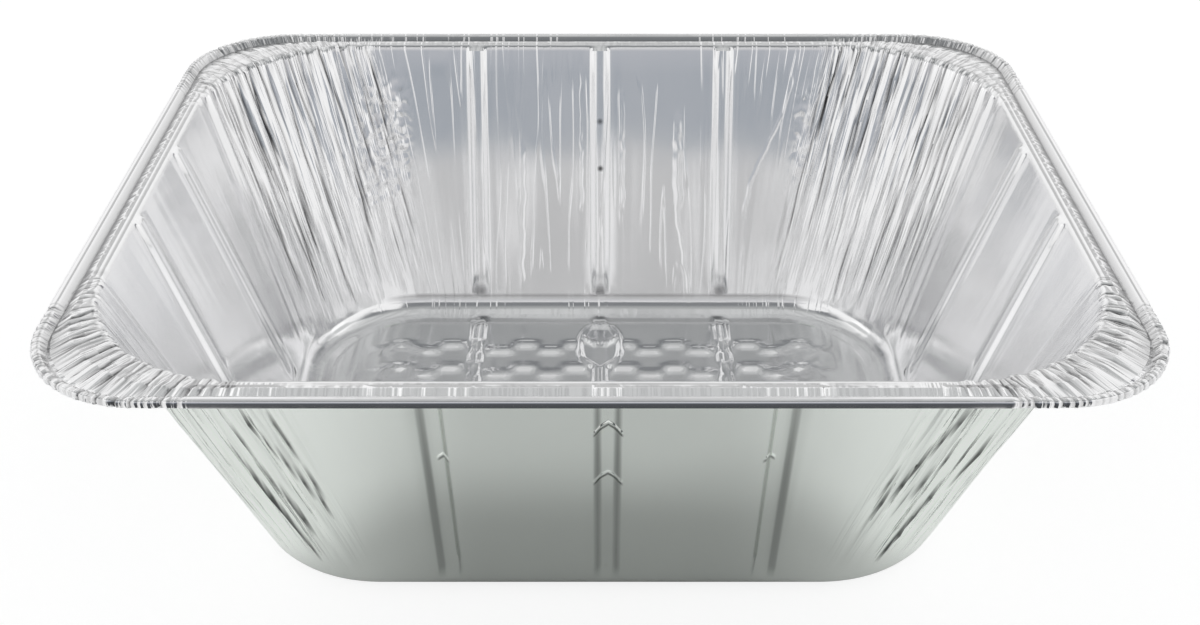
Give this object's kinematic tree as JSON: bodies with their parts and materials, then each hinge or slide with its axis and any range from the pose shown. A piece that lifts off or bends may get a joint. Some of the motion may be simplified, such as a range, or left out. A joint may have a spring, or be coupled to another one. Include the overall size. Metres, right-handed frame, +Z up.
{
  "type": "foil roasting pan",
  "caption": "Deep rectangular foil roasting pan with sloping ribbed walls, pleated round corners, a stepped flange with a rolled rim and an embossed floor.",
  "frame": {"origin": "centre of the pan, on the plane that it stands on", "axes": "+X along the pan's length, +Y across its width, +Z up out of its mouth"},
  "size_m": [0.3238, 0.2636, 0.1064],
  "materials": {
    "foil": "bright rolled foil, lightly creased"
  },
  "bodies": {
    "root": {"foil_pan": "foil"}
  },
  "joints": []
}
